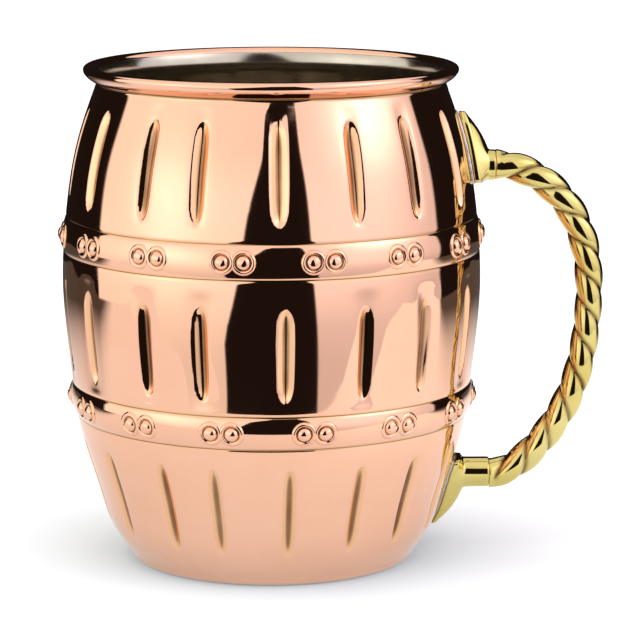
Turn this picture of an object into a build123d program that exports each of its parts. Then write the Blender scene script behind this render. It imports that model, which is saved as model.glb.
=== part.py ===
from build123d import *
import math
import os

# Barrel-shaped copper mug with a twisted brass handle.
# Millimetres. +Z is up, the origin is the centre of the flat base, and the handle points along +X.

# --- Copper body: outer wall, from the base corner up to the neck under the rim ---
BASE_FLAT_RADIUS = 29.2
BASE_CORNER_HEIGHT = 1.3
WALL_OUTLINE = [
    (29.6, 0.0),
    (34.5, 7.0),
    (37.2, 14.8),
    (41.0, 27.5),
    (43.1, 42.3),
    (44.5, 58.1),
    (43.7, 74.0),
    (41.0, 89.8),
    (37.1, 101.4),
]
NECK_HEIGHT = 101.4
# Where a turned surface starts and ends: an azimuth that no groove, rivet or lug crosses.
SEAM_AZIMUTH = -2.3

# --- Sheet and lining ---
SHEET = 0.8
LINING = 0.35

# --- Rolled rim: the sheet curls outwards into a hollow bead ---
RIM_CENTRE_HEIGHT = 104.0
RIM_BEAD_RADIUS = 1.7
RIM_CURL_GAP = 0.25

# --- Two pressed hoops that run round the barrel ---
UPPER_HOOP = (66.6, 73.8, 0.5)
LOWER_HOOP = (31.4, 38.3, 0.75)

# --- Stave grooves: rows of long spindles pressed into the sheet ---
# Azimuths are in degrees from -Y towards +X. The staves differ in width, as on a real barrel.
STAVE_AZIMUTHS = [-59, -36, -18.9, 3.7, 25.5, 45.4, 67.4, 90.5, 111.5]
STAVE_AZIMUTHS += [132, 153.2, 174.8, 195.6, 216.8, 238.4, 259.2, 280]
GROOVE_RADIUS = 2.1
GROOVE_RUN_OUT = 2.0
# Each row: bottom height, top height, depth below the straight line between its ends, turn of the row.
GROOVE_ROWS = [
    (77.0, 98.0, 0.5, -1.6),
    (41.0, 61.2, 0.7, 0.0),
    (7.0, 27.2, 0.35, 1.5),
]

# --- Domed rivet heads pressed into the hoops in pairs ---
# Each ring: hoop, number of pairs, azimuth of the first pair.
RIVET_RINGS = [
    (UPPER_HOOP, 15, 13.8),
    (LOWER_HOOP, 14, 11.7),
]
RIVET_SPACING = 4.45
RIVET_HEAD_RADIUS = 1.55
RIVET_HEAD_RISE = 0.75
# Share of the head's radius and of its rise at which its side turns over into the crown.
RIVET_SHOULDER = (0.7, 0.68)
RIVET_MOAT_RADIUS = 1.75
RIVET_MOAT_RISE = 0.15
RIVET_SWELL_RISE = 0.4
RIVET_SWELL_RADIUS = 2.6
RIVET_SWELL_CREST_RADIUS = 2.0
RIVET_SEAT_DEPTH = 0.05
RIVET_ROOT_DEPTH = 0.65

# --- Twisted brass bar of the handle, in the plane Y = 0 ---
BAR_CENTRELINE = [
    (47.6, 84.2),
    (58.1, 80.5),
    (64.8, 72.5),
    (67.8, 61.0),
    (67.6, 50.0),
    (64.8, 36.0),
    (57.9, 24.0),
    (46.8, 16.9),
]
BAR_LOBE_RADIUS = 2.65
BAR_LOBE_OFFSET = 0.5
BAR_TWISTS = 6
BAR_SECTIONS_PER_TWIST = 12
BAR_FIRST_ANGLE = 35.0

# --- Brass lugs: a tongue that lies along the wall, flared out into a round stub ---
STUB_RADIUS = 3.25
STUB_FLARE_LENGTH = 2.6
# How far inside the tongue's edge the flare starts.
STUB_FLARE_MARGIN = 0.65
TONGUE_SHOULDER_WIDTH = 4.9
TONGUE_WAIST = (4.1, 5.2)
TONGUE_TIP_HALF_WIDTH = 1.3
TONGUE_BASE_DROP = 3.7
TONGUE_SHOULDER_DROP = 2.9
TONGUE_LENGTH = 11.6
TONGUE_TIP_ROUND = 0.8
TONGUE_DEPTH = 8.0
# Each lug: height of the stub's centre, distance of the tongue's outer face, of the stub's end, lean.
UPPER_LUG = {"height": 84.1, "face": 44.2, "end": 47.6, "lean": -15.0, "points_up": True}
LOWER_LUG = {"height": 17.2, "face": 40.0, "end": 46.8, "lean": -21.0, "points_up": False}

# --- Solder between the lugs and the copper ---
SOLDER = 0.4
SOLDER_MARGIN = 0.35

BISECTION_STEPS = 40


def outline_curve(inset):
    """Outer wall as a smooth curve in the XZ plane, moved towards the axis by the inset."""
    points = [(radius - inset, 0, height) for radius, height in WALL_OUTLINE]
    return Edge.make_spline([Vector(*point) for point in points])


def curve_parameter(curve, height):
    """Position along a rising curve, from 0 to 1, at which it reaches a height."""
    low = 0.0
    high = 1.0
    for _ in range(BISECTION_STEPS):
        middle = (low + high) / 2
        if curve.position_at(middle).Z < height:
            low = middle
        else:
            high = middle
    return (low + high) / 2


WALL = outline_curve(0)


def wall_radius(height):
    """Outer radius of the barrel, hoops aside, at a height."""
    return WALL.position_at(curve_parameter(WALL, height)).X


def curve_piece(curve, bottom, top):
    """The stretch of a wall curve between two heights."""
    return curve.trim(curve_parameter(curve, bottom), curve_parameter(curve, top))


def hoop_arc(curve, hoop):
    """Convex outline of a pressed hoop, standing on the wall curve."""
    bottom, top, rise = hoop
    low = curve.position_at(curve_parameter(curve, bottom))
    high = curve.position_at(curve_parameter(curve, top))
    crest = curve.position_at(curve_parameter(curve, (bottom + top) / 2)) + Vector(rise, 0, 0)
    return Edge.make_three_point_arc(low, crest, high)


def around_axis(shape, azimuth):
    """Turn a shape built on the -Y side about +Z, towards +X."""
    return Rot(0, 0, azimuth) * shape


def turned(section):
    """Solid of revolution about +Z of a section in the XZ plane, with its seam out of the way."""
    return around_axis(revolve(section, Axis.Z), SEAM_AZIMUTH - 90)


def barrel_form(inset):
    """Solid of revolution inside the wall: the outer form at inset 0, hollows at larger insets."""
    curve = outline_curve(inset)
    foot_height = BASE_CORNER_HEIGHT + inset
    base_edge = Vector(BASE_FLAT_RADIUS - inset, 0, inset)
    foot = curve.position_at(curve_parameter(curve, foot_height))
    neck = curve.position_at(1)
    axis_low = Vector(0, 0, inset)
    axis_high = Vector(0, 0, NECK_HEIGHT)
    edges = [
        Edge.make_line(axis_low, base_edge),
        Edge.make_tangent_arc(base_edge, Vector(1, 0, 0), foot),
        curve_piece(curve, foot_height, LOWER_HOOP[0]),
        hoop_arc(curve, LOWER_HOOP),
        curve_piece(curve, LOWER_HOOP[1], UPPER_HOOP[0]),
        hoop_arc(curve, UPPER_HOOP),
        curve_piece(curve, UPPER_HOOP[1], NECK_HEIGHT),
        Edge.make_line(neck, axis_high),
        Edge.make_line(axis_high, axis_low),
    ]
    return turned(Face(Wire(edges)))


def groove_cutter(row, inset):
    """Spindle whose inner side presses one groove into the wall at azimuth 0 (the -Y side)."""
    bottom, top, depth, _ = row
    low_radius = wall_radius(bottom)
    high_radius = wall_radius(top)
    half_length = math.hypot(top - bottom, high_radius - low_radius) / 2
    arc_radius = (half_length**2 + depth**2) / (2 * depth)
    end = half_length + GROOVE_RUN_OUT
    middle_radius = GROOVE_RADIUS + inset
    end_radius = middle_radius - arc_radius + math.sqrt(arc_radius**2 - end**2)
    outline = Wire(
        [
            Edge.make_line(Vector(0, 0, -end), Vector(end_radius, 0, -end)),
            Edge.make_three_point_arc(
                Vector(end_radius, 0, -end), Vector(middle_radius, 0, 0), Vector(end_radius, 0, end)
            ),
            Edge.make_line(Vector(end_radius, 0, end), Vector(0, 0, end)),
            Edge.make_line(Vector(0, 0, end), Vector(0, 0, -end)),
        ]
    )
    spindle = revolve(Face(outline), Axis.Z)
    lean = math.degrees(math.atan2(high_radius - low_radius, top - bottom))
    axis_radius = (low_radius + high_radius) / 2 + GROOVE_RADIUS - depth
    return Pos(0, -axis_radius, (bottom + top) / 2) * Rot(lean, 0, 0) * spindle


def groove_cutters(inset):
    """All stave grooves, row by row, one at each stave azimuth."""
    cutters = []
    for row in GROOVE_ROWS:
        cutter = groove_cutter(row, inset)
        turn = row[3]
        for azimuth in STAVE_AZIMUTHS:
            cutters.append(around_axis(cutter, azimuth + turn))
    return cutters


def rivet_head():
    """One rivet head on its raised swell, standing up along +Z on the plane Z = 0."""
    swell_edge = Vector(RIVET_SWELL_RADIUS, 0, 0)
    root_edge = Vector(RIVET_SWELL_RADIUS, 0, -RIVET_ROOT_DEPTH)
    root = Vector(0, 0, -RIVET_ROOT_DEPTH)
    top = RIVET_SWELL_RISE + RIVET_HEAD_RISE
    crown = Vector(0, 0, top)
    head_edge = Vector(RIVET_HEAD_RADIUS, 0, RIVET_MOAT_RISE)
    shoulder_out, shoulder_up = RIVET_SHOULDER
    shoulder_height = RIVET_MOAT_RISE + (top - RIVET_MOAT_RISE) * shoulder_up
    head_shoulder = Vector(RIVET_HEAD_RADIUS * shoulder_out, 0, shoulder_height)
    swell_crest = Vector(RIVET_SWELL_CREST_RADIUS, 0, RIVET_SWELL_RISE)
    moat_edge = Vector(RIVET_MOAT_RADIUS, 0, RIVET_MOAT_RISE)
    outline = Wire(
        [
            Edge.make_line(root, crown),
            Edge.make_three_point_arc(crown, head_shoulder, head_edge),
            Edge.make_line(head_edge, moat_edge),
            Edge.make_three_point_arc(moat_edge, swell_crest, swell_edge),
            Edge.make_line(swell_edge, root_edge),
            Edge.make_line(root_edge, root),
        ]
    )
    return revolve(Face(outline), Axis.Z)


def rivet_pairs():
    """Pairs of rivet heads all round both hoops, each pair joined where its swells meet."""
    head = Rot(90, 0, 0) * rivet_head()
    pairs = []
    for hoop, count, first in RIVET_RINGS:
        height = (hoop[0] + hoop[1]) / 2
        radius = wall_radius(height) + hoop[2]
        half_angle = math.degrees(RIVET_SPACING / 2 / radius)
        seated = Pos(0, -radius + RIVET_SEAT_DEPTH, height) * head
        pair = around_axis(seated, -half_angle) + around_axis(seated, half_angle)
        for index in range(count):
            pairs.append(around_axis(pair, first + index * 360 / count))
    return pairs


def rim_bead():
    """Hollow bead that the sheet curls into, with a fine gap where its edge comes back to the wall."""
    wall_face = wall_radius(NECK_HEIGHT)
    centre_radius = wall_face - SHEET + RIM_BEAD_RADIUS
    bead = Pos(centre_radius, RIM_CENTRE_HEIGHT) * (
        Circle(RIM_BEAD_RADIUS) - Circle(RIM_BEAD_RADIUS - SHEET)
    )
    neck_length = RIM_CENTRE_HEIGHT - NECK_HEIGHT
    neck = Pos(wall_face - SHEET / 2, NECK_HEIGHT + neck_length / 2) * Rectangle(SHEET, neck_length)
    gap = Pos(wall_face + RIM_CURL_GAP / 2, NECK_HEIGHT + RIM_BEAD_RADIUS / 2) * Rectangle(
        RIM_CURL_GAP, RIM_BEAD_RADIUS
    )
    return turned(Plane.XZ * ((bead - gap) + neck))


def grooved(form, inset):
    """A barrel form with all its grooves pressed in."""
    for cutter in groove_cutters(inset):
        form = form - cutter
    return form


def outer_barrel():
    """The barrel as it looks from outside, solid, with its rivet heads and grooves."""
    form = barrel_form(0)
    for pair in rivet_pairs():
        form = form + pair
    return grooved(form, 0)


def hollow(inset):
    """The space inside the barrel at a depth below its outer wall, following the grooves."""
    return grooved(barrel_form(inset), inset)


def body_shell(outer):
    """Copper sheet: barrel, hoops, grooves, rivet heads and rolled rim in one piece."""
    return (outer - hollow(SHEET)) + rim_bead()


def inner_lining():
    """Bright lining that covers the inside up to the rim's inner edge."""
    inner = SHEET + LINING
    wall_face = wall_radius(NECK_HEIGHT) - SHEET
    collar_height = RIM_CENTRE_HEIGHT - NECK_HEIGHT
    collar = Cylinder(wall_face, collar_height) - Cylinder(wall_face - LINING, collar_height)
    lined = hollow(SHEET) - hollow(inner)
    return lined + Pos(0, 0, NECK_HEIGHT + collar_height / 2) * collar


def bar_section(position, direction, angle):
    """Section of the twisted bar: two round lobes that meet in two grooves."""
    plane = Plane(origin=position, x_dir=Vector(0, 1, 0), z_dir=direction)
    groove = math.sqrt(BAR_LOBE_RADIUS**2 - BAR_LOBE_OFFSET**2)
    crest = BAR_LOBE_RADIUS + BAR_LOBE_OFFSET
    arcs = [
        Edge.make_three_point_arc(Vector(0, -groove, 0), Vector(crest, 0, 0), Vector(0, groove, 0)),
        Edge.make_three_point_arc(Vector(0, groove, 0), Vector(-crest, 0, 0), Vector(0, -groove, 0)),
    ]
    return plane.location * Rot(0, 0, angle) * Face(Wire(arcs))


def rope_handle(lugs):
    """Twisted bar that bends out from the upper lug and back in to the lower one, butted to both."""
    points = [Vector(x, 0, z) for x, z in BAR_CENTRELINE]
    # The bar leaves both stubs square to their ends, so no gap opens between them.
    path = Edge.make_spline(points, tangents=[Vector(1, 0, 0), Vector(-1, 0, 0)])
    count = BAR_TWISTS * BAR_SECTIONS_PER_TWIST
    sections = []
    for index in range(count + 1):
        share = index / count
        angle = BAR_FIRST_ANGLE - 360 * BAR_TWISTS * share
        sections.append(bar_section(path.position_at(share), path.tangent_at(share), angle))
    bar = loft(sections)
    for lug in lugs:
        bar = bar - lug
    return bar


def tongue_outline(margin):
    """Shield-shaped outline of a lug: flat end at the bottom, rounded tip at the top."""
    waist_width, waist_height = TONGUE_WAIST
    corner = Vector(TONGUE_SHOULDER_WIDTH + margin, -TONGUE_SHOULDER_DROP - margin)
    waist = Vector(waist_width + margin, waist_height)
    tip_corner = Vector(TONGUE_TIP_HALF_WIDTH + margin, TONGUE_LENGTH - TONGUE_TIP_ROUND)
    tip = Vector(0, TONGUE_LENGTH + margin)
    heel = Vector(0, -TONGUE_BASE_DROP - margin)

    def mirrored(point):
        return Vector(-point.X, point.Y)

    edges = [
        Edge.make_three_point_arc(mirrored(corner), heel, corner),
        Edge.make_three_point_arc(corner, waist, tip_corner),
        Edge.make_three_point_arc(tip_corner, tip, mirrored(tip_corner)),
        Edge.make_three_point_arc(mirrored(tip_corner), mirrored(waist), mirrored(corner)),
    ]
    return Face(Wire(edges))


def tongue_plane(lug):
    """Plane of the tongue's outer face: across is Y, up is along the wall, out is away from it."""
    lean = math.radians(lug["lean"])
    up = 1 if lug["points_up"] else -1
    out = Vector(math.cos(lean), 0, -up * math.sin(lean))
    across = Vector(0, up, 0)
    return Plane(origin=Vector(lug["face"], 0, lug["height"]), x_dir=across, z_dir=out)


def tongue_block(lug, margin):
    """The tongue's outline carried inwards, deep enough to reach into the wall."""
    face = tongue_plane(lug).location * tongue_outline(margin)
    return extrude(face, amount=-TONGUE_DEPTH)


def flared_stub(lug):
    """Smooth flare from the tongue's outer face into the round stub."""
    foot = tongue_plane(lug).location * tongue_outline(-STUB_FLARE_MARGIN)
    stub_start = Vector(lug["end"] - STUB_FLARE_LENGTH, 0, lug["height"])
    start_plane = Plane(origin=stub_start, x_dir=Vector(0, 1, 0), z_dir=Vector(1, 0, 0))
    stub = extrude(start_plane * Circle(STUB_RADIUS), amount=STUB_FLARE_LENGTH)
    return loft([foot, (start_plane * Circle(STUB_RADIUS)).faces()[0]]) + stub


def lug_piece(lug):
    """Cast brass lug: tongue and stub, seated on the solder."""
    return (tongue_block(lug, 0) + flared_stub(lug)) - barrel_form(-SOLDER)


def solder_piece(lug, outer):
    """Solder under a lug, which also fills any groove that it crosses."""
    return (tongue_block(lug, SOLDER_MARGIN) & barrel_form(-SOLDER)) - outer


def main():
    os.makedirs("parts", exist_ok=True)
    outer = outer_barrel()
    upper_lug = lug_piece(UPPER_LUG)
    lower_lug = lug_piece(LOWER_LUG)
    pieces = {
        "body_shell": body_shell(outer),
        "inner_lining": inner_lining(),
        "rope_handle": rope_handle([upper_lug, lower_lug]),
        "upper_lug": upper_lug,
        "lower_lug": lower_lug,
        "upper_solder": solder_piece(UPPER_LUG, outer),
        "lower_solder": solder_piece(LOWER_LUG, outer),
    }
    for name, piece in pieces.items():
        export_step(piece, f"parts/{name}.step")


main()
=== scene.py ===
import math

import bpy
import numpy as np
from mathutils import Matrix, Vector


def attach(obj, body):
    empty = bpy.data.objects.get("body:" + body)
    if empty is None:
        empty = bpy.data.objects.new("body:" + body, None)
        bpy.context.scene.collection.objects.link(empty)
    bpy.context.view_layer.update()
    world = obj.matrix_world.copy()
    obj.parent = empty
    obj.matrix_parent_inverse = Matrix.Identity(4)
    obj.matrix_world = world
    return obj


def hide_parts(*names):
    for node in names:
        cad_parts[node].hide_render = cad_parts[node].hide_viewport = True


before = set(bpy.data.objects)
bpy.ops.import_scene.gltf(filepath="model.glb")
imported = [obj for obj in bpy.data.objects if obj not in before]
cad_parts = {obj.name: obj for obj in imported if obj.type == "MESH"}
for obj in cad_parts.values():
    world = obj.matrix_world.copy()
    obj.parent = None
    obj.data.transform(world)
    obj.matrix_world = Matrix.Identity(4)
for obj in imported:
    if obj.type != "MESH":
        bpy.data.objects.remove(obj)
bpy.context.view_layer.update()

# Copper barrel mug with a twisted brass handle, in the frame of the CAD model.
# Shapes are worked out in millimetres and written to the meshes in metres.
# Azimuths are in degrees about +Z, from -Y (the front) towards +X (the handle).
MM = 0.001

# --- Barrel outline and rim, as in the CAD model ---
BASE_FLAT_RADIUS = 29.2
BASE_CORNER_HEIGHT = 1.3
BASE_RING_RADII = (3, 8, 14, 20)
BASE_OUTER_RING = 24.5
WALL_HEIGHTS = (0.0, 7.0, 14.8, 27.5, 42.3, 58.1, 74.0, 89.8, 101.4)
WALL_RADII = (29.6, 34.5, 37.2, 41.0, 43.1, 44.5, 43.7, 41.0, 37.1)
NECK_HEIGHT = 101.4
# Thickness of the copper and of the lining, and the hairline gap between them.
SHEET = 0.8
LINING = 0.35
LINING_GAP = 0.02
# The spun sheet's unevenness: size, waves round the barrel, turn with height, phase.
WAVES = ((0.5, 5, 0.07, 0.6), (0.35, 11, -0.11, 2.1), (0.3, 3, 0.23, 4.0))
WAVE_DEPTH = 0.018

# --- Hoops: bottom, top, rise of the crest, depth of the crease along each edge ---
UPPER_HOOP = (66.6, 73.8, 0.5, 0.08)
LOWER_HOOP = (31.4, 38.3, 0.75, 0.08)
CREASE_WIDTH = 0.3
# Painted shade along the creases of each hoop: how dark it is, and its width.
CREASE_SHADE = 0.95
CREASE_SHADE_WIDTH = 0.25

# --- Stave grooves ---
STAVE_AZIMUTHS = (-59, -36, -18.9, 3.7, 25.5, 45.4, 67.4, 90.5, 111.5,
                  132, 153.2, 174.8, 195.6, 216.8, 238.4, 259.2, 280)
# Each row: bottom, top, depth, half width, turn of the row, how strongly its valleys are painted with
# shade.
GROOVE_ROWS = (
    (77.4, 97.7, 1.0, 1.75, -1.6, 1.05),
    (41.3, 60.6, 0.95, 1.7, 0.0, 1.1),
    (7.4, 26.8, 0.75, 1.75, 1.5, 1.0),
)
# The soft hollow that each groove lies in: bottom, top, depth, half width, turn.
HOLLOW_ROWS = (
    (76.6, 100.3, 0.25, 2.3, -1.6),
    (39.3, 63.6, 0.42, 3.7, 0.0),
    (6.0, 28.6, 0.16, 3.2, 1.5),
)
GROOVE_END_POWER = 5.0
GROOVE_BOTTOM_ROUND = 0.1
GROOVE_TAPER = 0.06
# Keeps the width above zero at the ends of a groove, where it is divided by.
TINY_WIDTH = 1e-6
HOLLOW_END_POWER = 4.0
# Heights between which the columns of the mesh turn from one row of grooves to the next.
TURN_HEIGHTS = (27.2, 40.2, 62.0, 77.0)

# --- Rivet heads, in pairs: hoop, number of pairs, azimuth of the first pair ---
RIVET_RINGS = ((UPPER_HOOP, 15, 13.8), (LOWER_HOOP, 14, 11.7))
RIVET_SPACING = 4.45
# Profile of one head from its crown out: distance, rise over the hoop, how much painted shade it carries.
RIVET_PROFILE = (
    (0.35, 0.86, 0.0), (0.7, 0.8, 0.0), (1.0, 0.68, 0.0), (1.22, 0.5, 0.0), (1.38, 0.3, 0.2),
    (1.46, 0.1, 0.9), (1.54, 0.03, 1.0), (1.63, 0.08, 0.9), (1.75, 0.22, 0.1), (1.92, 0.31, 0.0),
    (2.12, 0.33, 0.0), (2.32, 0.28, 0.0), (2.46, 0.17, 0.1), (2.56, 0.03, 0.45), (2.72, -0.28, 0.5),
)
RIVET_CROWN = 0.88
RIVET_SEGMENTS = 20

# --- Rolled rim from the crease under it, out and over, to the inner edge: radius and height ---
RIM_RADII = (37.0, 38.4, 39.4, 39.68, 39.6, 39.1, 38.3, 37.5, 36.9, 36.5)
RIM_HEIGHTS = (102.1, 102.9, 103.9, 104.5, 105.1, 105.52, 105.66, 105.5, 105.1, 104.5)
RIM_STEPS = 20
# The crease under the rim starts this far inside and below the first point above.
RIM_CREASE_IN = 0.12
RIM_CREASE_DOWN = 0.03
# Painted shade in the crease, and how much less there is at each further step along the rim.
RIM_SHADE = 0.95
RIM_SHADE_FADE = 0.2
# Lip of the lining under the rim's inner edge, from its outer side over to its inner side.
LIP_OUTLINE = ((36.42, 104.45), (36.47, 104.58), (36.44, 104.62), (36.38, 104.5), (36.13, 103.6))

# --- Twisted bar of the handle, in the plane Y = 0 ---
BAR_X = (47.6, 58.1, 64.8, 67.8, 67.6, 64.8, 57.9, 46.8)
BAR_Z = (84.2, 80.5, 72.5, 61.0, 50.0, 36.0, 24.0, 16.9)
BAR_RADIUS = 3.2
# The bar is a little thinner about its middle.
BAR_WAIST = 0.26
BAR_WAIST_LENGTH = 14
BAR_GROOVE_RADIUS = 2.3
BAR_GROOVE_POWER = 0.55
BAR_GROOVE_SPACING = 7.2
BAR_FIRST_GROOVE = 2.3
# The grooves fade in over this length from each end, and the bar's skin starts this far off a stub.
BAR_FADE = 1.6
BAR_ROOT = 0.03
BAR_ROWS = 340
BAR_COLUMNS = 80

# --- Lugs ---
STUB_RADIUS = 3.25
STUB_BEVEL = 0.15
STUB_EDGE_RING = 0.6
UPPER_STUB_END = 47.6
LOWER_STUB_END = 46.8
UPPER_LUG_HEIGHT = 84.1
LOWER_LUG_HEIGHT = 17.2
LUG_COLUMNS = 96
FLARE_STEPS = 12
FLARE_REACH = 0.95
FLARE_POWER = 1.05
# The tongue's rounded edge: share of the outline, drop below the tongue's face.
TONGUE_EDGE = ((0.985, 0.12), (1.0, 0.4))
TONGUE_FOOT = 0.25
TONGUE_BACK_SHARES = (0.98, 0.75, 0.45, 0.15)
TONGUE_THINNING = 11
# The tongue, measured from the stub's centre towards its tip, with its half widths.
TONGUE_BACK = -3.7
TONGUE_SHOULDER = -2.9
TONGUE_NARROW = 10.6
TONGUE_TIP = 11.6
TONGUE_HALF_WIDTH = 4.9
TONGUE_TIP_HALF_WIDTH = 1.6
# Solder seam: how far it shows past the tongue, and how deep it reaches into the wall.
SOLDER_MARGIN = 0.12
SOLDER_DEPTH = 0.25
# Its uneven edge: size, waves round the outline, phase.
SOLDER_WAVES = ((0.12, 7, 1.0), (0.08, 13, 2.5), (0.05, 29, 0.0))
SOLDER_UNEVENNESS = 0.7


# ---------------------------------------------------------------- small helpers

def natural_spline(xs, ys, end_slopes=None):
    """Cubic spline through the points, as a function of an array, with straight ends or set end slopes."""
    xs = np.asarray(xs, float)
    ys = np.asarray(ys, float)
    count = len(xs)
    step = np.diff(xs)
    matrix = np.eye(count)
    right = np.zeros(count)
    for i in range(1, count - 1):
        matrix[i, i - 1] = step[i - 1]
        matrix[i, i] = 2 * (step[i - 1] + step[i])
        matrix[i, i + 1] = step[i]
        right[i] = 6 * ((ys[i + 1] - ys[i]) / step[i] - (ys[i] - ys[i - 1]) / step[i - 1])
    if end_slopes:
        matrix[0, :2] = 2 * step[0], step[0]
        right[0] = 6 * ((ys[1] - ys[0]) / step[0] - end_slopes[0])
        matrix[-1, -2:] = step[-1], 2 * step[-1]
        right[-1] = 6 * (end_slopes[1] - (ys[-1] - ys[-2]) / step[-1])
    bend = np.linalg.solve(matrix, right)

    def value(x):
        x = np.asarray(x, float)
        k = np.clip(np.searchsorted(xs, x) - 1, 0, count - 2)
        h = step[k]
        a = (xs[k + 1] - x) / h
        b = (x - xs[k]) / h
        curve = ((a**3 - a) * bend[k] + (b**3 - b) * bend[k + 1]) * h * h / 6
        return a * ys[k] + b * ys[k + 1] + curve

    return value


def smooth(low, high, x):
    """0 below low, 1 above high, smooth between."""
    t = np.clip((x - low) / (high - low), 0, 1)
    return t * t * (3 - 2 * t)


wall_radius = natural_spline(WALL_HEIGHTS, WALL_RADII)


def wall_slope(height):
    """How fast the wall's radius grows with height."""
    tiny = 0.01
    return (wall_radius(height + tiny) - wall_radius(height - tiny)) / (2 * tiny)


def new_piece(name, points_mm, faces, material, node):
    """A smooth mesh object from millimetre points, riding on the mug in place of a CAD node."""
    mesh = bpy.data.meshes.new(name)
    mesh.from_pydata((np.asarray(points_mm) * MM).tolist(), [], faces)
    mesh.validate()
    mesh.polygons.foreach_set("use_smooth", [True] * len(mesh.polygons))
    mesh.materials.append(material)
    piece = bpy.data.objects.new(name, mesh)
    bpy.context.scene.collection.objects.link(piece)
    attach(piece, "root")
    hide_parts(node)
    return piece


# ---------------------------------------------------------------- relief of the copper sheet

def nearest_distance(azimuths, centres, radius):
    """Distance in mm round the barrel from each azimuth to the nearest centre."""
    gap = (azimuths[..., None] - np.asarray(centres) + 180) % 360 - 180
    return np.radians(np.abs(gap).min(axis=-1)) * radius


def hoop_relief(height):
    """Rise of the two convex hoops, with a fine crease along each edge."""
    relief = np.zeros_like(height)
    for bottom, top, rise, crease in (UPPER_HOOP, LOWER_HOOP):
        t = (height - (bottom + top) / 2) / ((top - bottom) / 2)
        relief += rise * np.clip(1 - t * t, 0, 1)
        for edge in (bottom, top):
            relief -= crease * np.exp(-((height - edge) / CREASE_WIDTH) ** 2)
    return relief


def crease_shade(height):
    """Painted shade in the creases along the hoops, 0 to 1."""
    shade_level = np.zeros_like(height)
    for hoop in (UPPER_HOOP, LOWER_HOOP):
        for edge in hoop[:2]:
            line = CREASE_SHADE * np.exp(-((height - edge) / CREASE_SHADE_WIDTH) ** 2)
            shade_level = np.maximum(shade_level, line)
    return shade_level


def groove_relief(azimuth, height, radius):
    """Depth of the stave grooves with the hollows round them, and how far into a groove a point is,
    weighted by the row's painted shade.
    """
    depth_all = np.zeros_like(azimuth)
    into = np.zeros_like(azimuth)
    for bottom, top, depth, half_width, turn, shade_strength in GROOVE_ROWS:
        s = (height - (bottom + top) / 2) / ((top - bottom) / 2)
        inside = np.sqrt(np.clip(1 - np.abs(s) ** GROOVE_END_POWER, 0, 1))
        across = nearest_distance(azimuth, np.asarray(STAVE_AZIMUTHS) + turn, radius)
        width = half_width * inside * (1 + GROOVE_TAPER * s) + TINY_WIDTH
        e = GROOVE_BOTTOM_ROUND
        t = across / width
        valley = np.clip(1 - (np.sqrt(t * t + e * e) - e) / (math.sqrt(1 + e * e) - e), 0, 1)
        depth_all += depth * inside * valley
        into = np.maximum(into, inside * np.clip(valley * shade_strength, 0, 1))
    for bottom, top, depth, half_width, turn in HOLLOW_ROWS:
        s = (height - (bottom + top) / 2) / ((top - bottom) / 2)
        inside = np.sqrt(np.clip(1 - np.abs(s) ** HOLLOW_END_POWER, 0, 1))
        across = nearest_distance(azimuth, np.asarray(STAVE_AZIMUTHS) + turn, radius)
        depth_all += depth * inside * np.clip(1 - (across / half_width) ** 2, 0, 1) ** 1.5
    return depth_all, into


def waviness(azimuth, height):
    """The slight unevenness of spun and planished sheet."""
    a = np.radians(azimuth)
    return WAVE_DEPTH * sum(
        size * np.sin(count * a + turn * height + phase) for size, count, turn, phase in WAVES
    )


def sheet_surface(azimuth, height, inset):
    """Point on the sheet at a depth below its outer face. Returns x, y, z and how much painted shade it
    carries.
    """
    base = wall_radius(height)
    slope = wall_slope(height)
    length = np.sqrt(1 + slope * slope)
    grooves, into = groove_relief(azimuth, height, base)
    shade_level = np.maximum(into, crease_shade(height))
    offset = hoop_relief(height) - grooves + waviness(azimuth, height) - inset
    radius = base + offset / length
    z = height - offset * slope / length
    a = np.radians(azimuth)
    return radius * np.sin(a), -radius * np.cos(a), z, shade_level


# ---------------------------------------------------------------- rings and their joining

# Columns of the mesh in one stave, those of them in each half of a groove, and its width in degrees.
CELL_COLUMNS = 24
GROOVE_COLUMNS = 7
GROOVE_ZONE = 3.0


def stave_columns(turn):
    """Azimuths of the columns, closer together in the grooves, with one along each groove's middle."""
    centres = np.asarray(STAVE_AZIMUTHS, float) + turn
    columns = []
    for i, start in enumerate(centres):
        end = centres[i + 1] if i + 1 < len(centres) else centres[0] + 360
        width = end - start
        marks = [0, GROOVE_COLUMNS, CELL_COLUMNS - GROOVE_COLUMNS, CELL_COLUMNS]
        places = [0, GROOVE_ZONE, width - GROOVE_ZONE, width]
        columns.append(start + np.interp(np.arange(CELL_COLUMNS), marks, places))
    return np.concatenate(columns)


def row_turn(height):
    """Turn of the columns at a height, so that they follow the grooves of each row."""
    upper, middle, lower = (row[4] for row in GROOVE_ROWS)
    return float(np.interp(height, TURN_HEIGHTS, (lower, middle, middle, upper)))


def ring_azimuths(height, count):
    """Column azimuths of one ring."""
    staves = stave_columns(row_turn(height))
    size = len(staves)
    index = np.arange(count) * size / count
    wrapped = np.concatenate([staves, [staves[0] + 360]])
    return np.interp(index, np.arange(size + 1), wrapped)


def join_rings(first, second, faces, flip=False):
    """Adds the faces between two closed rings of vertex numbers, of equal, doubled or halved count."""
    a = list(first)
    b = list(second)
    made = []
    if len(a) == len(b):
        for i in range(len(a)):
            j = (i + 1) % len(a)
            made.append((a[i], a[j], b[j], b[i]))
    elif len(b) == 2 * len(a):
        for i in range(len(a)):
            j = (i + 1) % len(a)
            k = (2 * i + 2) % len(b)
            made += [(a[i], b[2 * i + 1], b[2 * i]), (a[i], a[j], b[2 * i + 1]), (a[j], b[k], b[2 * i + 1])]
    else:
        for i in range(len(b)):
            j = (i + 1) % len(b)
            k = (2 * i + 2) % len(a)
            made += [(a[2 * i], a[2 * i + 1], b[i]), (a[2 * i + 1], b[j], b[i]), (a[2 * i + 1], a[k], b[j])]
    if flip:
        made = [tuple(reversed(face)) for face in made]
    faces += made


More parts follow.
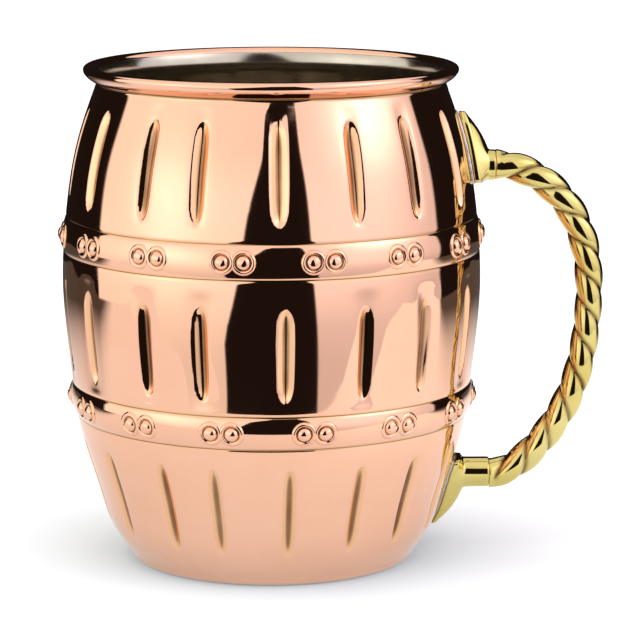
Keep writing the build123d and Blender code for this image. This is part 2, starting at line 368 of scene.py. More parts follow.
def tube_faces(rings, columns):
    """Faces of a tube of equal rings, closed by two end points that are numbered after the rings."""
    faces = []
    for i in range(rings - 1):
        first = range(i * columns, (i + 1) * columns)
        second = range((i + 1) * columns, (i + 2) * columns)
        join_rings(first, second, faces)
    start = rings * columns
    last = start - columns
    for j in range(columns):
        k = (j + 1) % columns
        faces.append((start, k, j))
        faces.append((start + 1, last + j, last + k))
    return faces


def add_hollow(piece, hollow):
    """Stores how much painted shade each vertex carries in the hollows, for the material."""
    layer = piece.data.attributes.new("hollow", "FLOAT", "POINT")
    layer.data.foreach_set("value", hollow.astype(np.float32))


class Turned:
    """A closed surface built ring by ring round the mug's axis."""

    def __init__(self):
        self.points = []
        self.hollow = []
        self.faces = []
        self.last = None

    def ring(self, x, y, z, hollow):
        """Adds a ring of points and joins it to the one before."""
        start = sum(len(p) for p in self.points)
        count = len(x)
        self.points.append(np.stack([x, y, z], axis=1))
        self.hollow.append(np.broadcast_to(hollow, (count,)).astype(float))
        numbers = range(start, start + count)
        if self.last is not None:
            join_rings(self.last, numbers, self.faces)
        self.last = numbers

    def tip(self, z):
        """A single vertex on the axis, closing the surface there."""
        start = sum(len(p) for p in self.points)
        self.points.append(np.array([[0.0, 0.0, z]]))
        self.hollow.append(np.zeros(1))
        return start

    def fan(self, centre, numbers, flip):
        """Triangles from a centre vertex to a ring."""
        for i in range(len(numbers)):
            j = (i + 1) % len(numbers)
            face = (centre, numbers[j], numbers[i])
            self.faces.append(tuple(reversed(face)) if flip else face)

    def rivet(self, azimuth, height):
        """A closed rivet head that stands on the sheet, on its rounded swell."""
        self.last = None
        around = np.arange(RIVET_SEGMENTS) * 2 * math.pi / RIVET_SEGMENTS
        radius = float(wall_radius(height))

        def on_sheet(rho, rise, angles):
            """Points at a distance from the rivet's middle, raised off the sheet."""
            degrees = azimuth + np.degrees(rho * np.cos(angles) / radius)
            return sheet_surface(degrees, height + rho * np.sin(angles), -rise)[:3]

        def single(rise):
            """One vertex in the rivet's middle. Returns its number."""
            start = sum(len(p) for p in self.points)
            self.points.append(np.stack(on_sheet(0.0, rise, np.zeros(1)), axis=1))
            self.hollow.append(np.zeros(1))
            return start

        crown = single(RIVET_CROWN)
        previous = None
        for rho, rise, shade_level in RIVET_PROFILE:
            start = sum(len(p) for p in self.points)
            self.points.append(np.stack(on_sheet(rho, rise, around), axis=1))
            self.hollow.append(np.full(RIVET_SEGMENTS, shade_level))
            numbers = list(range(start, start + RIVET_SEGMENTS))
            if previous is None:
                self.fan(crown, numbers, True)
            else:
                join_rings(previous, numbers, self.faces, flip=True)
            previous = numbers
        self.fan(single(RIVET_PROFILE[-1][1]), previous, False)

    def make(self, name, material, node):
        """Makes the mesh object."""
        piece = new_piece(name, np.concatenate(self.points), self.faces, material, node)
        add_hollow(piece, np.concatenate(self.hollow))


# Columns of a full ring. A coarser ring has a half or a quarter of them.
FULL = CELL_COLUMNS * len(STAVE_AZIMUTHS)
HALF = FULL // 2
QUARTER = FULL // 4
# The rings are closest together this near to a groove's or hoop's edge, and this far into a groove.
EDGE_ZONE = 0.8
END_ZONE = 3
# Spacing of the rings up the wall.
PLAIN_SPACING = 0.9
GROOVE_SPACING = 1.9
GROOVE_END_SPACING = 0.42
HOOP_SPACING = 0.75
HOOP_EDGE_SPACING = 0.2
NECK_SPACING = 0.7
# Spacing of the rings that the mug hides, where the copper and the lining lie back to back.
COPPER_BACK_SPACING = 2.5
LINING_BACK_SPACING = 1.6
CORNER_STEPS = 6
# The inside of the lining is finer at the base corner.
INSIDE_CORNER_STEPS = 8
INSIDE_RING_RADII = (4, 10, 16, 22)


def wall_rows():
    """Heights of the rings up the wall, closer together at the ends of the grooves and at the hoops."""
    rows = []

    def stretch(bottom, top, spacing):
        steps = max(1, round((top - bottom) / spacing))
        for i in range(steps):
            rows.append(bottom + (top - bottom) * i / steps)

    def groove_stretch(bottom, top):
        stretch(bottom - EDGE_ZONE, bottom + END_ZONE, GROOVE_END_SPACING)
        stretch(bottom + END_ZONE, top - END_ZONE, GROOVE_SPACING)
        stretch(top - END_ZONE, top + EDGE_ZONE, GROOVE_END_SPACING)

    def edge_stretch(edge):
        stretch(edge - EDGE_ZONE, edge + EDGE_ZONE, HOOP_EDGE_SPACING)

    upper, middle, lower = (row[:2] for row in GROOVE_ROWS)
    stretch(BASE_CORNER_HEIGHT, lower[0] - EDGE_ZONE, PLAIN_SPACING)
    for grooves, hoop, next_grooves in ((lower, LOWER_HOOP, middle), (middle, UPPER_HOOP, upper)):
        groove_stretch(*grooves)
        stretch(grooves[1] + EDGE_ZONE, hoop[0] - EDGE_ZONE, PLAIN_SPACING)
        edge_stretch(hoop[0])
        stretch(hoop[0] + EDGE_ZONE, hoop[1] - EDGE_ZONE, HOOP_SPACING)
        edge_stretch(hoop[1])
        stretch(hoop[1] + EDGE_ZONE, next_grooves[0] - EDGE_ZONE, PLAIN_SPACING)
    groove_stretch(*upper)
    stretch(upper[1] + EDGE_ZONE, NECK_HEIGHT + EDGE_ZONE, NECK_SPACING)
    return rows


def plain_ring(turned, height, count, radius, z, hollow=0.0):
    """A round ring of the given radius, with the columns that the wall has at that height."""
    a = np.radians(ring_azimuths(height, count))
    turned.ring(radius * np.sin(a), -radius * np.cos(a), np.full(count, float(z)), hollow)


def wall_ring(turned, height, count, inset):
    """A ring on the sheet at a depth below its outer face."""
    azimuth = ring_azimuths(height, count)
    turned.ring(*sheet_surface(azimuth, np.full(count, height), inset))


def flat_disc(turned, z, radii):
    """The flat start of a turned surface: a centre vertex and the rings round it."""
    centre = turned.tip(z)
    plain_ring(turned, 0, QUARTER, radii[0], z)
    turned.fan(centre, list(turned.last), False)
    for radius in radii[1:]:
        plain_ring(turned, 0, QUARTER, radius, z)


def corner_arc(inset, steps):
    """Points of the base corner, from the flat out to the wall: radius and height."""
    foot_height = BASE_CORNER_HEIGHT + inset
    foot = float(wall_radius(foot_height)) - inset
    start = BASE_FLAT_RADIUS - inset
    run = foot - start
    rise = foot_height - inset
    arc_radius = (run * run + rise * rise) / (2 * rise)
    sweep = math.asin(min(1.0, run / arc_radius))
    for i in range(steps):
        angle = sweep * i / steps
        yield start + arc_radius * math.sin(angle), inset + arc_radius * (1 - math.cos(angle))


def copper_body(material):
    """The copper sheet: base, wall, rolled rim and the hidden inner face against the lining."""
    body = Turned()
    flat_disc(body, 0.0, (*BASE_RING_RADII, BASE_OUTER_RING))
    for radius, z in corner_arc(0, CORNER_STEPS):
        plain_ring(body, 0, HALF, radius, z)
    for height in wall_rows():
        wall_ring(body, height, FULL, 0.0)
    # The crease under the rim and the rim's first steps carry painted shade.
    crease_radius = RIM_RADII[0] - RIM_CREASE_IN
    plain_ring(body, NECK_HEIGHT, FULL, crease_radius, RIM_HEIGHTS[0] - RIM_CREASE_DOWN, 1.0)
    for step, (radius, z) in enumerate(rim_outline()):
        shade_level = max(0.0, RIM_SHADE - RIM_SHADE_FADE * step)
        plain_ring(body, NECK_HEIGHT, FULL, radius, z, shade_level)
    hidden_wall(body)
    inner_floor(body)
    for hoop, pairs, first in RIVET_RINGS:
        middle = (hoop[0] + hoop[1]) / 2
        half_angle = math.degrees(RIVET_SPACING / 2 / (float(wall_radius(middle)) + hoop[2]))
        for index in range(pairs):
            for side in (-1, 1):
                body.rivet(first + index * 360 / pairs + side * half_angle, middle)
    body.make("copper_barrel", material, "body_shell")


def rim_outline():
    """Evenly spaced points along the rolled rim: radius and height."""
    along = np.concatenate([[0], np.cumsum(np.hypot(np.diff(RIM_RADII), np.diff(RIM_HEIGHTS)))])
    places = np.linspace(0, along[-1], RIM_STEPS)
    radii = natural_spline(along, RIM_RADII)(places)
    heights = natural_spline(along, RIM_HEIGHTS)(places)
    return list(zip(radii, heights))


def hidden_wall(turned):
    """The sheet's inner side, against the lining, from the rim down to the base corner."""
    for z in (RIM_HEIGHTS[-1] - 0.7, NECK_HEIGHT + 0.3):
        plain_ring(turned, NECK_HEIGHT, HALF, WALL_RADII[-1] - SHEET, z)
    for height in np.arange(NECK_HEIGHT - 1.0, BASE_CORNER_HEIGHT + SHEET, -COPPER_BACK_SPACING):
        wall_ring(turned, height, HALF, SHEET)


def inner_floor(turned):
    """The sheet's inner side over the base corner and the base, closed on the axis."""
    for radius, z in reversed(list(corner_arc(SHEET, CORNER_STEPS))):
        plain_ring(turned, 0, QUARTER, radius, z)
    for radius in reversed(BASE_RING_RADII):
        plain_ring(turned, 0, QUARTER, radius, SHEET)
    numbers = list(turned.last)
    turned.fan(turned.tip(SHEET), numbers, True)


def lining_body(material):
    """The bright lining: its visible inner face, its lip under the rim and its back against the copper."""
    lining = Turned()
    back = SHEET + LINING_GAP
    inner = SHEET + LINING
    flat_disc(lining, back, BASE_RING_RADII)
    for radius, z in corner_arc(back, CORNER_STEPS):
        plain_ring(lining, 0, QUARTER, radius, z)
    for height in np.arange(NECK_HEIGHT - 1.0, BASE_CORNER_HEIGHT + SHEET, -LINING_BACK_SPACING)[::-1]:
        wall_ring(lining, height, HALF, back)
    outer_radius = WALL_RADII[-1] - SHEET - LINING_GAP
    inner_radius = WALL_RADII[-1] - inner
    outer_side = ((outer_radius, NECK_HEIGHT + 0.3), (outer_radius, NECK_HEIGHT + 2.3))
    inner_side = ((inner_radius + 0.03, NECK_HEIGHT + 1.2), (inner_radius, NECK_HEIGHT + 0.4))
    for radius, z in (*outer_side, *LIP_OUTLINE, *inner_side):
        plain_ring(lining, NECK_HEIGHT, FULL, radius, z)
    for height in reversed(wall_rows()):
        if BASE_CORNER_HEIGHT + inner < height < NECK_HEIGHT - 0.2:
            wall_ring(lining, height, FULL, inner)
    for radius, z in reversed(list(corner_arc(inner, INSIDE_CORNER_STEPS))):
        plain_ring(lining, 0, HALF, radius, z)
    for radius in reversed(INSIDE_RING_RADII):
        plain_ring(lining, 0, QUARTER, radius, inner)
    numbers = list(lining.last)
    lining.fan(lining.tip(inner), numbers, True)
    lining.make("nickel_lining", material, "inner_lining")


# ---------------------------------------------------------------- handle

def bar_path(samples):
    """Evenly spaced lengths along the bar's centreline, with the points and unit tangents there."""
    chord = np.concatenate([[0], np.cumsum(np.hypot(np.diff(BAR_X), np.diff(BAR_Z)))])
    fine = np.linspace(0, chord[-1], 2000)
    x = natural_spline(chord, BAR_X, (1.0, -1.0))(fine)
    z = natural_spline(chord, BAR_Z, (0.0, 0.0))(fine)
    along = np.concatenate([[0], np.cumsum(np.hypot(np.diff(x), np.diff(z)))])
    s = np.linspace(0, along[-1], samples)
    px = np.interp(s, along, x)
    pz = np.interp(s, along, z)
    tx = np.gradient(px, s)
    tz = np.gradient(pz, s)
    length = np.hypot(tx, tz)
    return s, px, pz, tx / length, tz / length


def rope_bar(material):
    """The twisted bar: two full lobes that wind round each other, with a sharp groove between them."""
    s, px, pz, tx, tz = bar_path(BAR_ROWS)
    total = s[-1]
    around = np.arange(BAR_COLUMNS) * 2 * math.pi / BAR_COLUMNS
    points = []
    hollow = []
    for i in range(BAR_ROWS):
        end = min(s[i], total - s[i])
        fade = float(smooth(0.0, BAR_FADE, end))
        twist = -math.pi * (s[i] - BAR_FIRST_GROOVE) / BAR_GROOVE_SPACING
        radius = BAR_RADIUS - BAR_WAIST * math.exp(-((s[i] - total * 0.5) / BAR_WAIST_LENGTH) ** 2)
        lobe = np.abs(np.sin(around - twist)) ** BAR_GROOVE_POWER
        groove = (radius - BAR_GROOVE_RADIUS) * fade
        r = radius - groove * (1 - lobe)
        out = np.cos(around) * r
        side = -np.sin(around) * r
        # Outwards in the handle's plane, away from the mug, is the tangent turned a quarter turn.
        stub = UPPER_STUB_END if s[i] < total / 2 else LOWER_STUB_END
        x = np.maximum(px[i] - tz[i] * out, stub + BAR_ROOT * min(end, 1))
        points.append(np.stack([x, side, pz[i] + tx[i] * out], axis=1))
        # The groove between the lobes carries painted shade, through the material.
        hollow.append((1 - lobe) * fade)
    ends = [[px[0], 0, pz[0]], [px[-1], 0, pz[-1]]]
    points = np.concatenate([*points, ends])
    faces = tube_faces(BAR_ROWS, BAR_COLUMNS)
    bar = new_piece("rope_bar", points, faces, material, "rope_handle")
    add_hollow(bar, np.concatenate([*hollow, np.zeros(2)]))


def tongue_outline():
    """The lug's outline about the stub's centre: distance at evenly spaced angles."""
    along = np.concatenate([
        np.linspace(TONGUE_BACK, TONGUE_SHOULDER, 12),
        np.linspace(TONGUE_SHOULDER, TONGUE_NARROW, 60),
        np.linspace(TONGUE_NARROW, TONGUE_TIP, 30),
    ])
    back = np.clip((along - TONGUE_BACK) / (TONGUE_SHOULDER - TONGUE_BACK), 0, 1)
    taper = np.clip((along - TONGUE_SHOULDER) / (TONGUE_NARROW - TONGUE_SHOULDER), 0, 1)
    tip = np.clip((TONGUE_TIP - along) / (TONGUE_TIP - TONGUE_NARROW), 0, 1)
    half = TONGUE_HALF_WIDTH - (TONGUE_HALF_WIDTH - TONGUE_TIP_HALF_WIDTH) * taper ** 1.5
    half = np.where(along < TONGUE_SHOULDER, TONGUE_HALF_WIDTH * back ** 0.3, half)
    half = np.where(along > TONGUE_NARROW, TONGUE_TIP_HALF_WIDTH * np.sqrt(tip), half)
    across = np.concatenate([half, -half[::-1]])
    along = np.concatenate([along, along[::-1]])
    full_turn = 2 * math.pi
    angle = np.arctan2(along, across) % full_turn
    reach = np.hypot(along, across)
    order = np.argsort(angle)
    wanted = np.arange(LUG_COLUMNS) * full_turn / LUG_COLUMNS
    return wanted, np.interp(wanted, angle[order], reach[order], period=full_turn)


def on_wall(across, height, above):
    """X of a point above the wall at a distance across the handle's plane."""
    radius = wall_radius(height) + above
    return np.sqrt(np.clip(radius**2 - across**2, 0, None))


def lug(name, node, material, centre, up, stub_end, stub_foot, edge_thickness, tip_thickness, seat):
    """A cast lug: round stub, flare and tongue that follows the barrel."""
    angle, rho = tongue_outline()
    to_tip = smooth(0, TONGUE_THINNING, rho * np.sin(angle))
    thickness = edge_thickness + (tip_thickness - edge_thickness) * to_tip
    rings = []

    def at(radius, x):
        """Adds the ring at a distance from the stub's centre, with X given by a function."""
        across = radius * np.cos(angle)
        height = centre + up * radius * np.sin(angle)
        rings.append(np.stack([x(across, height), -up * across, height], axis=1))

    middle = (stub_end + stub_foot) / 2
    for x in (stub_end, stub_end - STUB_BEVEL, stub_end - STUB_EDGE_RING, middle, stub_foot):
        radius = STUB_RADIUS - (STUB_BEVEL if x == stub_end else 0.0)
        at(np.full(LUG_COLUMNS, radius), lambda across, height, x=x: np.full(LUG_COLUMNS, x))
    for i in range(1, FLARE_STEPS + 1):
        t = i / FLARE_STEPS
        radius = STUB_RADIUS + (rho * FLARE_REACH - STUB_RADIUS) * t

        def flare(across, height, t=t):
            edge = on_wall(across, height, thickness)
            return edge + (stub_foot - edge) * (1 - t) ** FLARE_POWER

        at(radius, flare)
    for share, drop in TONGUE_EDGE:
        at(rho * share, lambda across, height, drop=drop: on_wall(across, height, thickness - drop))
    at(rho, lambda across, height: on_wall(across, height, seat + TONGUE_FOOT))
    for share in TONGUE_BACK_SHARES:
        at(rho * share, lambda across, height: on_wall(across, height, seat))
    ends = [[stub_end, 0, centre], [float(on_wall(0.0, centre, seat)), 0, centre]]
    points = np.concatenate([*rings, ends])
    faces = tube_faces(len(rings), LUG_COLUMNS)
    piece = new_piece(name, points, faces, material, node)
    subdivision = piece.modifiers.new("smooth", "SUBSURF")
    subdivision.levels = 1
    subdivision.render_levels = 1


def solder_seam(name, node, material, centre, up, seat):
    """Solder squeezed out round a lug: a thin uneven pad between the tongue and the copper."""
    angle, rho = tongue_outline()
    wobble = sum(size * np.sin(count * angle + phase) for size, count, phase in SOLDER_WAVES)
    rho = rho + SOLDER_MARGIN + SOLDER_UNEVENNESS * wobble
    top = seat - 0.02
    # The seam's section, from its top over its outer edge to its back: share of the outline, height.
    section = (
        (0.1, top), (0.6, top), (0.93, seat + 0.02), (0.975, seat - 0.08), (1.0, seat - 0.25),
        (1.005, -0.05), (0.9, -SOLDER_DEPTH), (0.5, -SOLDER_DEPTH), (0.1, -SOLDER_DEPTH),
    )
    rings = []
    for share, above in section:
        across = rho * share * np.cos(angle)
        height = centre + up * rho * share * np.sin(angle)
        rings.append(np.stack([on_wall(across, height, above), -up * across, height], axis=1))
    ends = [[float(on_wall(0.0, centre, above)), 0, centre] for above in (top, -SOLDER_DEPTH)]
    points = np.concatenate([*rings, ends])
    new_piece(name, points, tube_faces(len(rings), LUG_COLUMNS), material, node)


# ---------------------------------------------------------------- materials

class Nodes:
    """Short ways to add nodes to a tree."""

    def __init__(self, tree):
        self.tree = tree

    def add(self, kind, **settings):
        node = self.tree.nodes.new(kind)
        for key, value in settings.items():
            setattr(node, key, value)
        return node

    def plug(self, value, socket):
        """Links another node's output, or sets a plain value."""
        if isinstance(value, bpy.types.NodeSocket):
            self.tree.links.new(value, socket)
        else:
            socket.default_value = value

    def math(self, operation, a, b=0.0):
        node = self.add("ShaderNodeMath", operation=operation)
        self.plug(a, node.inputs[0])
        self.plug(b, node.inputs[1])
        return node.outputs[0]

    def times(self, first, *others):
        """The product of the values."""
        for other in others:
            first = self.math("MULTIPLY", first, other)
        return first

    def ramp(self, value, low, high, out_low=0.0, out_high=1.0, smooth_step=True):
        node = self.add("ShaderNodeMapRange", interpolation_type="SMOOTHSTEP" if smooth_step else "LINEAR")
        for index, item in enumerate((value, low, high, out_low, out_high)):
            self.plug(item, node.inputs[index])
        return node.outputs[0]

    def mix(self, share, a, b):
        node = self.add("ShaderNodeMix", data_type="RGBA")
        self.plug(share, node.inputs[0])
        self.plug(a, node.inputs[6])
        self.plug(b, node.inputs[7])
        return node.outputs[2]

    def noise(self, vector, scale, detail=4.0, roughness=0.5):
        node = self.add("ShaderNodeTexNoise")
        self.plug(vector, node.inputs["Vector"])
        node.inputs["Scale"].default_value = scale
        node.inputs["Detail"].default_value = detail
        node.inputs["Roughness"].default_value = roughness
        return node.outputs["Fac"]


def srgb(red, green, blue):
    """Linear colour from sRGB values of 0 to 255."""
    def linear(value):
        value /= 255
        return value / 12.92 if value <= 0.04045 else ((value + 0.055) / 1.055) ** 2.4
    return (linear(red), linear(green), linear(blue), 1.0)


def new_material(name):
    """A new material with its node helper and its shader."""
    material = bpy.data.materials.new(name)
    material.use_nodes = True
    tree = material.node_tree
    return material, Nodes(tree), tree.nodes["Principled BSDF"]


def metal(name, bright, deep, hollow_shade, roughness, grain_scale, grain_bump, hollow_share, warm=None):
    """Polished metal: painted shade in the hollows, faint clouds, fine polishing marks and uneven gloss.

    Where a warm colour is given, it tints the shallow part of each hollow.
    """
    material, n, shader = new_material(name)
    place = n.add("ShaderNodeTexCoord").outputs["Object"]
    cloud = n.noise(place, 45.0, 5.0, 0.6)
    fine = n.noise(place, 900.0, 3.0, 0.6)
    stretch = n.add("ShaderNodeMapping")
    n.plug(place, stretch.inputs["Vector"])
    stretch.inputs["Scale"].default_value = grain_scale
    grain = n.noise(stretch.outputs[0], 1.0, 2.0, 0.7)
    hollow = n.add("ShaderNodeAttribute", attribute_name="hollow").outputs["Fac"]
    shade = n.mix(n.ramp(cloud, 0.35, 0.7), bright, deep)
    if warm is None:
        shade_strength = n.ramp(hollow, 0.25, 0.8)
    else:
        shade_strength = n.ramp(hollow, 0.5, 0.93)
        shade = n.mix(n.times(n.ramp(hollow, 0.1, 0.35), 0.6), shade, warm)
    # Painted shade: the hollows are mixed towards the dark shade colour, unevenly with the clouds.
    painted_shade = n.times(shade_strength, n.ramp(cloud, 0.2, 0.75, 0.6, 1.0))
    colour = n.mix(n.times(painted_shade, hollow_share), shade, hollow_shade)
    n.plug(colour, shader.inputs["Base Color"])
    shader.inputs["Metallic"].default_value = 1.0
    smear = n.ramp(cloud, 0.45, 0.75, 0.0, 0.02)
    rough = n.math("ADD", n.math("ADD", roughness, smear), n.times(painted_shade, 0.12))
    n.plug(n.math("ADD", rough, n.times(fine, 0.012)), shader.inputs["Roughness"])
    bump = n.add("ShaderNodeBump")
    bump.inputs["Strength"].default_value = grain_bump
    bump.inputs["Distance"].default_value = 0.00002
    n.plug(grain, bump.inputs["Height"])
    n.plug(bump.outputs[0], shader.inputs["Normal"])
    return material


# The third colour of each metal is the painted shade in its hollows.
def copper_material():
    return metal("polished_copper", srgb(248, 195, 165), srgb(245, 190, 159), srgb(84, 44, 22),
                 roughness=0.035, grain_scale=(60, 60, 2500), grain_bump=0.05, hollow_share=0.9,
                 warm=srgb(236, 186, 128))


def brass_material():
    return metal("polished_brass", srgb(223, 207, 134), srgb(211, 191, 108), srgb(92, 50, 16),
                 roughness=0.06, grain_scale=(700, 700, 700), grain_bump=0.14, hollow_share=0.95)


def lining_material():
    return metal("nickel_lining", srgb(204, 197, 183), srgb(186, 178, 162), srgb(116, 104, 84),
                 roughness=0.16, grain_scale=(60, 60, 1800), grain_bump=0.25, hollow_share=0.3)


def solder_material():
    return metal("grey_solder", srgb(205, 205, 208), srgb(170, 168, 168), srgb(110, 104, 98),
                 roughness=0.3, grain_scale=(900, 900, 900), grain_bump=0.6, hollow_share=0.4)


# ---------------------------------------------------------------- studio

# Places and sizes of the studio are in metres.
TABLE_FRONT = -0.121
TABLE_BACK = 0.4
TABLE_HALF_WIDTH = 0.36
TABLE_LEVEL = -0.0003
WHITE_FLOOR = ((-6.0, -2.0), (6.0, 9.0))
WHITE_FLOOR_LEVEL = -0.0002
LAMP_WATTS = 4.7
LAMP_PLACE = (-0.35, -0.15, 1.2)
LAMP_SIZE = (1.6, 1.2)
DARK = (1.0, 0.7, 0.6, 1.0)
DARK_LEVEL = 0.013
WHITE = (1.0, 1.0, 1.0, 1.0)
# Painted shade of the table far behind the mug, and the point that it fades out from.
FLOOR_FAR = (0.04, 0.035, 0.03, 1.0)
FLOOR_FADE_CENTRE = (0.0, 0.05, 0.0)


def studio_world():
    """What the metal mirrors: soft boxes left and right with a dark gap, and a bright ceiling."""
    world = bpy.data.worlds.new("studio")
    bpy.context.scene.world = world
    world.use_nodes = True
    tree = world.node_tree
    tree.nodes.clear()
    n = Nodes(tree)
    direction = n.add("ShaderNodeTexCoord").outputs["Generated"]
    split = n.add("ShaderNodeSeparateXYZ")
    n.plug(direction, split.inputs[0])
    x, y, z = split.outputs
    degrees = 180 / math.pi
    azimuth = n.times(n.math("ARCTAN2", x, n.times(y, -1.0)), degrees)
    elevation = n.times(n.math("ARCSINE", z), degrees)
    side = n.math("ABSOLUTE", azimuth)

    def lean(at_zero, per_degree):
        """An edge's azimuth, which moves with the elevation."""
        return n.math("ADD", n.times(elevation, per_degree), at_zero)

    def above(value, edge, softness):
        """1 past a soft edge, 0 before it."""
        low = n.math("SUBTRACT", edge, softness)
        high = n.math("ADD", edge, softness)
        return n.ramp(value, low, high)

    def below(value, edge, softness):
        """0 past a soft edge, 1 before it."""
        return n.math("SUBTRACT", 1.0, above(value, edge, softness))

    def spot(at_azimuth, width, at_elevation, height):
        """A soft bright patch on a box."""
        across = n.math("DIVIDE", n.math("SUBTRACT", azimuth, at_azimuth), width)
        along = n.math("DIVIDE", n.math("SUBTRACT", elevation, at_elevation), height)
        far = n.math("ADD", n.times(across, across), n.times(along, along))
        return n.math("EXPONENT", n.times(far, -1.0))

    # Edges of the two soft boxes and the ceiling, in degrees. What they leave free is the dark room.
    left_edge = n.math("MAXIMUM", lean(-17.0, 0.5), -26.5)
    right_edge = lean(22.0, -0.18)
    left_box = n.times(below(azimuth, left_edge, 0.8), above(azimuth, -109.0, 1.5))
    right_box = n.times(above(azimuth, right_edge, 0.8), below(azimuth, 104.0, 1.5))
    ceiling = above(elevation, n.ramp(side, 140.0, 168.0, 34.0, 46.0), 1.5)
    # How bright the boxes are over their height and width, with a brighter patch on each.
    fall = n.ramp(elevation, -30.0, -4.0, 0.8, 1.27, False)
    fade_up = n.ramp(elevation, 5.0, 30.0, 1.0, 0.9)
    glow_left = spot(-60.0, 22.0, 9.0, 14.0)
    glow_right = spot(68.0, 24.0, 32.0, 14.0)
    fade_right = n.ramp(azimuth, 60.0, 104.0, 1.0, 0.72)
    low_right = n.ramp(elevation, -16.0, 4.0, 0.84, 1.0)
    left_level = n.times(left_box, fall, fade_up)
    right_level = n.times(right_box, fall, fade_up, fade_right, low_right)
    light = n.math("MAXIMUM", n.math("MAXIMUM", left_level, right_level), ceiling)
    light = n.math("ADD", light, n.times(glow_left, left_box, 0.55))
    light = n.math("ADD", light, n.times(glow_right, right_box, 1.7))
    warm_left = (1.0, 0.99, 0.96, 1.0)
    cool_right = (1.0, 0.97, 1.04, 1.0)
    tinted = n.mix(n.ramp(azimuth, -60.0, 40.0), warm_left, cool_right)
    dark = n.math("LESS_THAN", light, DARK_LEVEL)
    colour = n.mix(dark, tinted, DARK)
    light = n.math("MAXIMUM", light, DARK_LEVEL)
    # The camera itself sees plain white.
    seen = n.add("ShaderNodeBackground")
    seen.inputs["Color"].default_value = WHITE
    seen.inputs["Strength"].default_value = 1.0
    lit = n.add("ShaderNodeBackground")
    n.plug(colour, lit.inputs["Color"])
    n.plug(light, lit.inputs["Strength"])
    choose = n.add("ShaderNodeMixShader")
    n.plug(n.add("ShaderNodeLightPath").outputs["Is Camera Ray"], choose.inputs[0])
    n.plug(lit.outputs[0], choose.inputs[1])
    n.plug(seen.outputs[0], choose.inputs[2])
    n.plug(choose.outputs[0], n.add("ShaderNodeOutputWorld").inputs["Surface"])


def floor_material(name, fades, glow):
    """Pale matt floor. The table that the metal mirrors is painted darker behind the mug as painted shade,
    and glows brighter to the right as painted light.
    """
    material, n, shader = new_material(name)
    place = n.add("ShaderNodeTexCoord").outputs["Object"]
    lighter, darker = (188, 184) if fades else (250, 246)
    shade = n.mix(n.noise(place, 3.0), srgb(lighter, lighter, lighter), srgb(darker, darker, darker))
    if fades:
        split = n.add("ShaderNodeSeparateXYZ")
        n.plug(place, split.inputs[0])
        away = n.add("ShaderNodeVectorMath", operation="DISTANCE")
        n.plug(place, away.inputs[0])
        away.inputs[1].default_value = FLOOR_FADE_CENTRE
        far = n.ramp(away.outputs["Value"], 0.1, 0.29)
        behind = n.ramp(split.outputs[1], 0.0, 0.06)
        # Painted shade: the table turns dark far behind the mug.
        shade = n.mix(n.times(far, behind), shade, FLOOR_FAR)
    n.plug(shade, shader.inputs["Base Color"])
    n.plug(shade, shader.inputs["Emission Color"])
    shader.inputs["Emission Strength"].default_value = glow
    if fades:
        # Painted light: the table's glow grows towards the right.
        n.plug(n.ramp(split.outputs[0], -0.03, 0.12, glow, glow * 1.35), shader.inputs["Emission Strength"])
    shader.inputs["Roughness"].default_value = 0.9
    shader.inputs["Specular IOR Level"].default_value = 0.0
    return material


def floor_sheet(name, corners, level, material):
    """A flat pale sheet just under the mug."""
    (x0, y0), (x1, y1) = corners
    mesh = bpy.data.meshes.new(name)
    points = [(x, y, level) for x, y in ((x0, y0), (x1, y0), (x1, y1), (x0, y1))]
    mesh.from_pydata(points, [], [(0, 1, 2, 3)])
    mesh.materials.append(material)
    sheet = bpy.data.objects.new(name, mesh)
    bpy.context.scene.collection.objects.link(sheet)
    return sheet


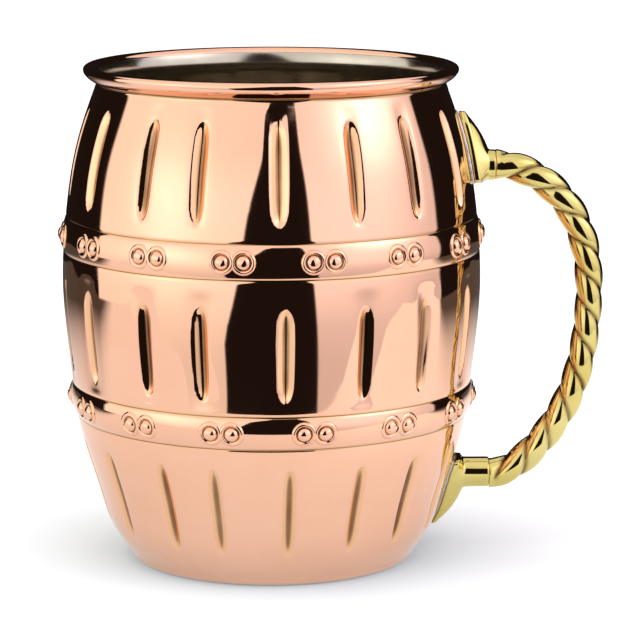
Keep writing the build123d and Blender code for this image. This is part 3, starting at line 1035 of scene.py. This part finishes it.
def studio():
    """Floor, lamp and world. The metal mirrors a small table, and the camera sees a wide white one."""
    studio_world()
    white = floor_material("white_floor", False, 0.26)
    mirrored = floor_material("table_floor", True, 0.95)
    wide = floor_sheet("floor_wide", WHITE_FLOOR, WHITE_FLOOR_LEVEL, white)
    wide.visible_glossy = False
    wide.visible_diffuse = False
    wide.visible_shadow = False
    corners = ((-TABLE_HALF_WIDTH, TABLE_FRONT), (TABLE_HALF_WIDTH, TABLE_BACK))
    table = floor_sheet("floor_table", corners, TABLE_LEVEL, mirrored)
    table.visible_camera = False
    lamp = bpy.data.lights.new("top_light", "AREA")
    lamp.shape = "RECTANGLE"
    lamp.size, lamp.size_y = LAMP_SIZE
    lamp.energy = LAMP_WATTS
    holder = bpy.data.objects.new("top_light", lamp)
    holder.location = LAMP_PLACE
    holder.visible_glossy = False
    holder.visible_camera = False
    bpy.context.scene.collection.objects.link(holder)


CAMERA_LENS = 175.4
CAMERA_TURN = 0.0157
CAMERA_TILT = 0.1813
CAMERA_PLACE = (0.0, -0.65745, 0.17113)


def camera():
    """A long lens a little above the rim, looking slightly down. Its turn and tilt are in radians."""
    lens = bpy.data.cameras.new("camera")
    lens.sensor_width = 36.0
    lens.lens = CAMERA_LENS
    lens.clip_start = 0.01
    lens.clip_end = 50.0
    holder = bpy.data.objects.new("camera", lens)
    level = math.cos(CAMERA_TILT)
    back = Vector((-math.sin(CAMERA_TURN) * level, -math.cos(CAMERA_TURN) * level, math.sin(CAMERA_TILT)))
    right = Vector((math.cos(CAMERA_TURN), -math.sin(CAMERA_TURN), 0.0))
    up = back.cross(right)
    turned = Matrix((right, up, back)).transposed().to_4x4()
    holder.matrix_world = Matrix.Translation(CAMERA_PLACE) @ turned
    bpy.context.scene.collection.objects.link(holder)
    bpy.context.scene.camera = holder


def picture_settings():
    """Plain colours, and enough bounces for the metal to mirror itself."""
    scene = bpy.context.scene
    scene.view_settings.view_transform = "Standard"
    scene.view_settings.look = "None"
    scene.cycles.max_bounces = 24
    scene.cycles.glossy_bounces = 16
    scene.cycles.caustics_reflective = False


def main():
    camera()
    studio()
    picture_settings()
    brass = brass_material()
    solder = solder_material()
    copper_body(copper_material())
    lining_body(lining_material())
    rope_bar(brass)
    lug("upper_lug_cast", "upper_lug", brass, UPPER_LUG_HEIGHT, up=1, stub_end=UPPER_STUB_END,
        stub_foot=46.1, edge_thickness=1.8, tip_thickness=2.0, seat=0.35)
    lug("lower_lug_cast", "lower_lug", brass, LOWER_LUG_HEIGHT, up=-1, stub_end=LOWER_STUB_END,
        stub_foot=41.3, edge_thickness=1.75, tip_thickness=1.6, seat=0.45)
    solder_seam("upper_solder_seam", "upper_solder", solder, UPPER_LUG_HEIGHT, up=1, seat=0.37)
    solder_seam("lower_solder_seam", "lower_solder", solder, LOWER_LUG_HEIGHT, up=-1, seat=0.47)


main()
